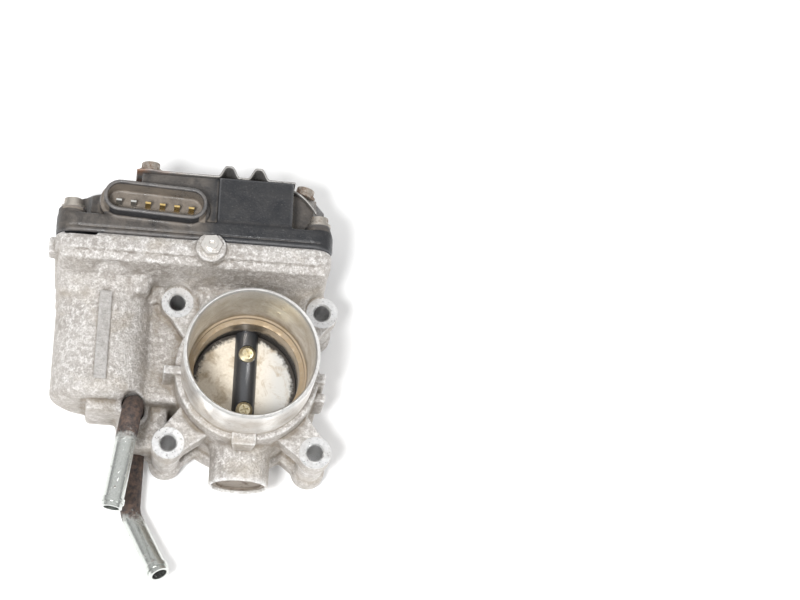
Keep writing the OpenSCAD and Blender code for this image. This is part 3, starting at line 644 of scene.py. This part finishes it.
    # bolt and stop-screw holes
    for sx in (-1, 1):
        for sy in (-1, 1):
            cut(dist_cyl("z", (sx * HALF_PITCH, sy * HALF_PITCH), 4.4, -5, 50))
    cut(dist_cyl("z", (-19.2, 47.5), 2.6, 45, 70))
    cut(dist_box((-37.5, 34, -2), (-34.5, 37.4, 6)), 0.5)
    obj = finish_clay(clay, "casting_body", "casting", cast_aluminium())
    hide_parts("housing")
    return obj


def make_liners():
    machined = machined_aluminium("machined ears", share=0.25)
    bore = bore_aluminium()
    wall = [(31.5, 0.0), (31.5, 1.2), (27.0, 1.2), (25.8, 14.5), (25.0, 16), (25.0, 42.5), (27.6, 44),
        (28.2, NECK_BASE - 0.6), (28.2, NECK_TOP - 0.9), (27.4, NECK_TOP), (26.9, NECK_TOP),
        (26.3, NECK_TOP - 1.0), (25.2, 45.6), (24.4, 45.4), (24.4, 43.6), (22.5, 42.6), (22.5, 14.1),
        (24.0, 13.6), (24.0, 0.6), (24.6, 0.0)]
    lathe("machined_bore", wall, (0, 0, 0), (0, 0, 1), "casting", bore, 256, 25)
    boss = [(3.4, 0.7), (4.1, 0.0), (6.6, 0.0), (6.6, 1.5), (4.7, 2.0), (4.7, EAR_TOP - 2),
        (6.85, EAR_TOP - 1.4), (6.85, EAR_TOP - 0.15), (6.7, EAR_TOP), (4.05, EAR_TOP), (3.4, EAR_TOP - 0.7)]
    for i, sx in enumerate((-1, 1)):
        for j, sy in enumerate((-1, 1)):
            lathe(f"bolt_boss_{i}{j}", boss, (sx * HALF_PITCH, sy * HALF_PITCH, 0), (0, 0, 1), "casting",
                machined, 72, 25)


# ---- the cover ----
def clear_screws(clay, start, radius=7.4):
    for x, z in COVER_SCREWS:
        clay.cut(dist_cyl("y", (x, z), radius, start, 85), 0.8)


def stadium(half_length, half_height, start, end, soft=0.0):
    reach = half_length - half_height
    left, right = -43.7 - reach, -43.7 + reach
    line = [(left, 65.69), (right, 65.69), (right, 65.71), (left, 65.71)]
    prism = dist_prism("z", line, start, end, half_height, soft)
    return turned(prism, (-43.7, 65.7), -2.5)


BLOCK = [(-50, 60.6), (14.5, 60.6), (14.5, 49), (24, 49), (30, 38), (30.5, -1), (-4, -1), (-16, 2), (-50, 44)]
SLOPE_ANGLE = math.radians(14)
SLOPE = math.tan(SLOPE_ANGLE)


def corner_drop(x, z):
    """How far the front right corner of the shield curves down below the slope."""
    return np.clip((z - 46) / 3, 0, 1) * 0.055 * np.maximum(x - 14.5, 0) ** 2


def make_cover():
    clay = Clay((-86, 50, -6.5), (34, 83, 72), 0.5)
    add, cut = clay.add, clay.cut
    points, r = rounded_outline(-79.5, -1.5, -22, 60.5, 24)
    add(dist_prism("y", points, 55, PLATEAU_TOP, r, 2.0))
    add(dist_box((-42, 55, -1.5), (14.5, PLATEAU_TOP, 60.5), 2.0))
    add(dist_box((-10, 55, -1.5), (30.5, PLATEAU_TOP, 48.5), 2.0))
    points, r = rounded_outline(-66, -1.5, 0, 7, 3.5)
    add(dist_prism("y", points, 66, 75, r, 1.2), 1.5)
    add(dist_prism("y", BLOCK, 55, BLOCK_TOP, 0, 1.0), 1.0)
    add(dist_box((-17.3, 55, 40), (14.5, BLOCK_TOP - 0.4, 62.6), 0.5), 0.3)
    clear_screws(clay, 59)
    add(case_prism(0, SPLIT_Y, RIM_TOP, 0.9), 0.8)
    cut(case_prism(-1, 53.6, 54.2))
    add(case_prism(0.5, 53.0, 55.0))
    for x, z in COVER_SCREWS:
        add(dist_cyl("y", (x, z), 6.0, SPLIT_Y, BOSS_TOP, 0.7), 1.0)
    # sloped right end of the block
    slope = (lambda x, y, z: -(y - BLOCK_TOP + (x - 15) * SLOPE) * math.cos(SLOPE_ANGLE),
        np.array([15.0, 60, -6]), np.array([34.0, 84, 72]))
    cut(slope, 0.5)

    def above_corner(x, y, z):
        top = BLOCK_TOP - np.maximum(x - 15, 0) * SLOPE - corner_drop(x, z)
        return np.maximum(top - y, 46 - z)

    corner = (above_corner, np.array([14.5, 60, 46]), np.array([34.0, 84, 72]))
    cut(corner, 0.3)
    # the connector's shell, and a step round its root
    add(stadium(21.7, 6.9, 50, 70, 0.5), 0.8)
    add(stadium(23.3, 8.3, 50, 62.5, 0.8), 0.8)
    # hollow inside, socket, holes of the cover screws
    cut(case_prism(3.4, 45, 57.8))
    points, r = rounded_outline(-75.7, 2.3, -25, 56.7, 20)
    cut(dist_prism("y", points, 50, PLATEAU_TOP - 2.2, r))
    cut(dist_box((-42, 50, 2.3), (10.6, PLATEAU_TOP - 2.2, 56.7)))
    cut(dist_box((-10, 50, 2.3), (26.7, PLATEAU_TOP - 2.2, 44.7)))
    inner = [(-46, 58.8), (11.3, 58.8), (11.3, 45.8), (20.8, 45.8), (26, 36), (26.5, 2.5), (-3, 2.5),
        (-14, 5), (-46, 46)]
    ceiling = lambda x: np.minimum(BLOCK_TOP - 2.2, BLOCK_TOP - 2.8 - (x - 15) * SLOPE)
    room = dist_prism("y", inner, 50, BLOCK_TOP - 2.2)
    low_room = (lambda x, y, z: np.maximum(room[0](x, y, z), y - ceiling(x)), room[1], room[2])
    cut(low_room)
    cut(stadium(20.1, 5.3, 60.5, 76, 0.3), 0.3)
    for x, z in COVER_SCREWS:
        cut(dist_cyl("y", (x, z), 2.7, 48, 70))
    # funnel-shaped recess and round mark on the motor end
    cut(dist_cyl("y", (-60, 38), 5.5, PLATEAU_TOP - 1.4, 80), 2.0)
    add(dist_cyl("y", (-60, 38), 8.5, PLATEAU_TOP - 4.4, PLATEAU_TOP - 1.8), 0.5)
    cut(dist_cyl("y", (-66, 17), 3, PLATEAU_TOP - 0.5, 73), 0.2)
    obj = finish_clay(clay, "cover_body", "casting", plastic("cover plastic"), 1)
    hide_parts("gear_cover")
    return obj


# ---- the heat shield: a pressed sheet whose height over the block is a function of x and z ----
def make_shield():
    outline = [(-52.5, 42.5), (-30.5, 15.5), (-17, -1.4), (-3.4, -1.4), (-3.4, -2.8), (31, -2.8), (30.2, 30),
        (25.8, 42), (25.6, 51.0), (15.6, 51.0), (15.3, 60.6), (-41, 61.6), (-46.7, 63.1), (-52.5, 61.6)]
    clay = Clay((-54, 60, -4.5), (33, 88, 65), 0.4)

    def height(x, z):
        y = BLOCK_TOP + 0.55 - np.maximum(x - 15, 0) * SLOPE - corner_drop(x, z)
        share = np.clip((z - 6) / 46, 0, 1)
        for centre in (-13.3, -0.6):
            half = 2.2 + 2.4 * share
            ramp = np.clip((half - abs(x - centre)) / (half - 0.8), 0, 1)
            y = y + 4.8 * np.clip(share * 1.15, 0.12, 1) * ramp * ramp * (3 - 2 * ramp)
        return y

    prism = dist_prism("y", outline, 60, 90)

    def sheet(x, y, z):
        h = height(x, z)
        steep = np.sqrt(1 + (np.gradient(h, axis=0) / clay.step) ** 2) if h.shape[0] > 1 else 1
        return np.maximum(abs(y - h) / steep - 0.5, prism[0](x, y, z) + 0 * h)

    clay.add((sheet, np.array([-53.0, 70, -3]), np.array([31.5, 87, 64])))
    apron_box = dist_box((-3.4, 61, -2.9), (31, 90, -1.9))[0]
    apron = (lambda x, y, z: np.maximum(apron_box(x, y, z), y - height(x, z)),
        np.array([-3.4, 61.0, -3]), np.array([31.0, 82, -1.8]))
    clay.add(apron, 0.6)
    clay.add(dist_cyl("y", (26.5, 4), 6.4, BOSS_TOP, BOSS_TOP + 1, 0.2), 0.4)
    clay.cut(dist_cyl("y", (26.5, 4), 6.7, BOSS_TOP + 1.1, 90))
    clay.cut(dist_cyl("y", (26.5, 4), 2.7, 55, 70))
    clay.cut(dist_cyl("y", (-46.7, 56.5), 2.6, 75, 90))
    clay.cut(dist_cyl("y", (20, 44), 2.6, 75, 90))
    p = Paint("shield steel")
    fine = p.noise(900, 4, 0.7)
    blotch = p.noise(120, 6, 0.7, 0.3)
    base = p.blend(p.step(fine, 0.3, 0.7), (0.27, 0.265, 0.26), (0.40, 0.39, 0.385))
    base = p.blend(p.step(blotch, 0.35, 0.65), base, (0.34, 0.325, 0.30))
    bright = p.calc("MULTIPLY", p.step(p.axis("X"), 0.0005, 0.0015), p.step(p.axis("Z"), 0.034, 0.032))
    spots = p.step(p.noise(700, 4, 0.7), 0.62, 0.70)
    shiny = p.blend(p.calc("MULTIPLY", spots, 0.7), (0.66, 0.64, 0.58), (0.25, 0.2, 0.15))
    base = p.blend(p.calc("MULTIPLY", bright, 0.85), base, shiny)
    corner = p.calc("MULTIPLY", p.step(p.axis("X"), -0.030, -0.048), p.step(blotch, 0.35, 0.6))
    rusty = p.calc("MAXIMUM", p.calc("MULTIPLY", p.given("worn"), p.step(blotch, 0.45, 0.6)), corner)
    base = p.blend(p.calc("MULTIPLY", rusty, 0.85), base, (0.23, 0.10, 0.045))
    material = p.finish(base, p.step(fine, 0.3, 0.7, 0.42, 0.6), p.step(rusty, 0, 1, 0.7, 0.1),
        p.bump(p.calc("ADD", fine, blotch), 0.08))
    obj = finish_clay(clay, "shield_sheet", "casting", material, 2, (1, 3))
    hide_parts("heat_shield")
    return obj


# ---- parts kept from the CAD, with their materials and softened edges ----
def dress(node, material, bevel_mm=0.15):
    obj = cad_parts[node]
    obj.data.materials.clear()
    obj.data.materials.append(material)
    if bevel_mm:
        soften = obj.modifiers.new("soften", "BEVEL")
        soften.width = bevel_mm * MM
        soften.segments = 2
        soften.limit_method = "ANGLE"
        soften.angle_limit = math.radians(35)
        soften.harden_normals = False
    return obj


def rusty_pipe(name, clean_from, clean_to):
    """Zinc-plated pipe whose plating is gone from the root outwards; Y falls towards the open end."""
    p = Paint(name)
    y = p.axis("Y")
    blotch = p.noise(300, 7, 0.75, 0.3)
    ragged = p.calc("ADD", y, p.calc("MULTIPLY", p.calc("SUBTRACT", blotch, 0.5), 0.014))
    rust = p.step(ragged, clean_from, clean_to)
    spots = p.calc("MULTIPLY", p.step(p.noise(420, 6, 0.75), 0.60, 0.66), 0.8)
    fine = p.noise(1800, 4, 0.7)
    zinc = p.blend(p.step(fine, 0.3, 0.7), (0.46, 0.48, 0.46), (0.64, 0.66, 0.63))
    rusty = p.blend(p.step(p.noise(500, 6, 0.75), 0.35, 0.62), (0.13, 0.085, 0.065), (0.035, 0.03, 0.03))
    amount = p.calc("MAXIMUM", rust, spots)
    base = p.blend(amount, zinc, rusty)
    return p.finish(base, p.step(amount, 0, 1, 0.2, 0.7), p.step(amount, 0, 1, 0.95, 0.15),
        p.bump(p.calc("ADD", fine, p.calc("MULTIPLY", amount, 2.0)), 0.05))


def plate_paint():
    """Brass plate with cream and brown stains, greyer and brighter on the right."""
    p = Paint("plate brass")
    x = p.axis("X")
    stain = p.noise(140, 7, 0.7, 0.6)
    fine = p.noise(900, 4, 0.7)
    base = p.blend(p.step(fine, 0.3, 0.7), (0.70, 0.62, 0.50), (0.86, 0.79, 0.67))
    base = p.blend(p.step(x, 0.002, 0.014), base, (0.66, 0.65, 0.62))
    base = p.blend(p.calc("MULTIPLY", p.step(stain, 0.50, 0.66), 0.7), base, (0.36, 0.26, 0.14))
    y = p.axis("Y")
    radius = p.calc("POWER", p.calc("ADD", p.calc("MULTIPLY", x, x), p.calc("MULTIPLY", y, y)), 0.5)
    ragged = p.calc("ADD", radius, p.calc("MULTIPLY", p.calc("SUBTRACT", p.noise(400, 5, 0.7), 0.5), 0.006))
    base = p.blend(p.step(ragged, 0.0195, 0.0212), base, (0.05, 0.042, 0.035))
    return p.finish(base, p.step(fine, 0.3, 0.7, 0.42, 0.55), 0.05, p.bump(fine, 0.05))


def dress_cad():
    bright = steel("bright steel", (0.55, 0.55, 0.54), 0.0, 0.28)
    screw = steel("screw steel", (0.40, 0.37, 0.33), 0.4, 0.45, (0.16, 0.10, 0.06))
    stop = steel("stop screw steel", (0.62, 0.60, 0.57), 0.15, 0.35)
    brass = plain("contact brass", (0.74, 0.55, 0.26), 0.3, 0.9)
    pale = plain("pale plastic", (0.62, 0.58, 0.48), 0.5)
    dark = plain("dark plastic", (0.045, 0.045, 0.05), 0.45)
    motor = plain("motor steel", (0.46, 0.46, 0.45), 0.4, 0.85)
    rubber = plain("seal rubber", (0.03, 0.028, 0.026), 0.7)
    # painted shade: the end plug's dark brown base colour stands for the shadow in the shallow recess at the
    # shaft boss's end; its rust specks are rust
    dress("end_plug", steel("plug", (0.20, 0.17, 0.14), 0.4, 0.6, (0.12, 0.08, 0.05), 0.4), 0.2)
    dress("throttle_shaft", steel("black shaft", (0.085, 0.088, 0.094), 0.0, 0.3, metal=0.6), 0.15)
    dress("throttle_plate", plate_paint(), 0.12)
    dress("plate_screws", steel("plate screws", (0.62, 0.55, 0.38), 0.12, 0.32), 0.12)
    for node in ("cover_side_bearing", "end_side_bearing", "intermediate_pin", "motor_shaft"):
        dress(node, bright)
    for node in ("cover_side_seal", "end_side_seal", "cover_gasket"):
        dress(node, rubber, 0)
    dress("return_spring", plain("spring steel", (0.30, 0.29, 0.28), 0.35, 0.9), 0)
    dress("sector_gear", dark, 0)
    dress("sector_magnets", plain("magnet", (0.12, 0.12, 0.13), 0.4, 0.6))
    dress("intermediate_gear", pale, 0)
    for node in ("motor_can", "motor_plate", "motor_wave_spring"):
        dress(node, motor, 0.2)
    dress("motor_end_cap", dark, 0.2)
    dress("motor_pinion", brass, 0)
    dress("motor_terminals", brass)
    dress("motor_plate_screws", screw)
    dress("sensor_board", plain("circuit board", (0.05, 0.20, 0.10), 0.45), 0.1)
    dress("sensor_chip", dark, 0.1)
    p = Paint("connector pins")
    fine = p.noise(900, 4, 0.7)
    silver = p.blend(p.step(fine, 0.3, 0.7), (0.60, 0.60, 0.58), (0.76, 0.76, 0.73))
    gold = p.blend(p.step(fine, 0.3, 0.7), (0.66, 0.46, 0.16), (0.86, 0.66, 0.30))
    pins = p.finish(p.blend(p.step(p.axis("X"), -0.0495, -0.0490), silver, gold), 0.28, 0.9, p.bump(fine, 0.02))
    dress("connector_pins", pins, 0.25)
    dress("cover_screws", screw, 0.3)
    dress("shield_screws", steel("shield screw steel", (0.36, 0.32, 0.28), 0.6, 0.5, (0.17, 0.10, 0.06)), 0.3)
    dress("stop_screw", stop, 0.25)
    dress("stop_nut", stop, 0.25)
    dress("upper_coolant_pipe", rusty_pipe("upper pipe", -0.0335, -0.0295), 0.15)
    dress("lower_coolant_pipe", rusty_pipe("lower pipe", -0.0600, -0.0560), 0.15)


# ---- floor, lights, camera ----
def soft_light(name, place, power, size, aim=(-0.02, 0.0, 0.03)):
    lamp = bpy.data.lights.new(name, "AREA")
    lamp.energy = power
    lamp.shape = "DISK"
    lamp.size = size
    obj = bpy.data.objects.new(name, lamp)
    obj.location = place
    obj.rotation_mode = "QUATERNION"
    obj.rotation_quaternion = (Vector(aim) - Vector(place)).to_track_quat("-Z", "Y")
    bpy.context.scene.collection.objects.link(obj)


def make_stage():
    mesh = bpy.data.meshes.new("floor")
    corners = [(-3, -3, -0.0052), (3, -3, -0.0052), (3, 3, -0.0052), (-3, 3, -0.0052)]
    mesh.from_pydata(corners, [], [(0, 1, 2, 3)])
    floor = bpy.data.objects.new("floor", mesh)
    bpy.context.scene.collection.objects.link(floor)
    paper = bpy.data.materials.new("paper")
    paper.use_nodes = True
    shader = paper.node_tree.nodes["Principled BSDF"]
    shader.inputs["Base Color"].default_value = (0.97, 0.97, 0.97, 1)
    shader.inputs["Roughness"].default_value = 0.9
    mesh.materials.append(paper)
    world = bpy.data.worlds.new("studio")
    bpy.context.scene.world = world
    world.use_nodes = True
    # a dome that is bright overhead and dim near the floor, so that metal shows its shape
    tree = world.node_tree
    back = tree.nodes["Background"]
    split = tree.nodes.new("ShaderNodeSeparateXYZ")
    tree.links.new(tree.nodes.new("ShaderNodeTexCoord").outputs["Generated"], split.inputs[0])
    fade = tree.nodes.new("ShaderNodeMapRange")
    tree.links.new(split.outputs["Z"], fade.inputs["Value"])
    for key, number in (("From Min", 0.0), ("From Max", 0.75), ("To Min", 0.25), ("To Max", 0.85)):
        fade.inputs[key].default_value = number
    back.inputs["Color"].default_value = (1, 1, 1, 1)
    tree.links.new(fade.outputs["Result"], back.inputs["Strength"])
    soft_light("key", (-0.26, -0.38, 1.08), 13, 0.2)
    soft_light("fill", (0.7, -0.5, 0.7), 2.5, 0.5)
    bpy.context.scene.view_settings.view_transform = "Standard"


def make_camera():
    camera = bpy.data.cameras.new("photo_camera")
    camera.lens = 108
    camera.sensor_width = 36
    camera.clip_start, camera.clip_end = 0.05, 10
    obj = bpy.data.objects.new("photo_camera", camera)
    forward = Vector((0.1155, 0.3173, -0.9413)).normalized()
    right = Vector((0.990, 0.035, 0.133))
    right = (right - right.dot(forward) * forward).normalized()
    up = right.cross(forward)
    turn = Matrix((right, up, -forward)).transposed()
    obj.matrix_world = Matrix.Translation((-0.0554, -0.2902, 1.0173)) @ turn.to_4x4()
    bpy.context.scene.collection.objects.link(obj)
    bpy.context.scene.camera = obj


make_casting()
make_liners()
make_cover()
make_shield()
dress_cad()
make_stage()
make_camera()
bpy.context.view_layer.update()
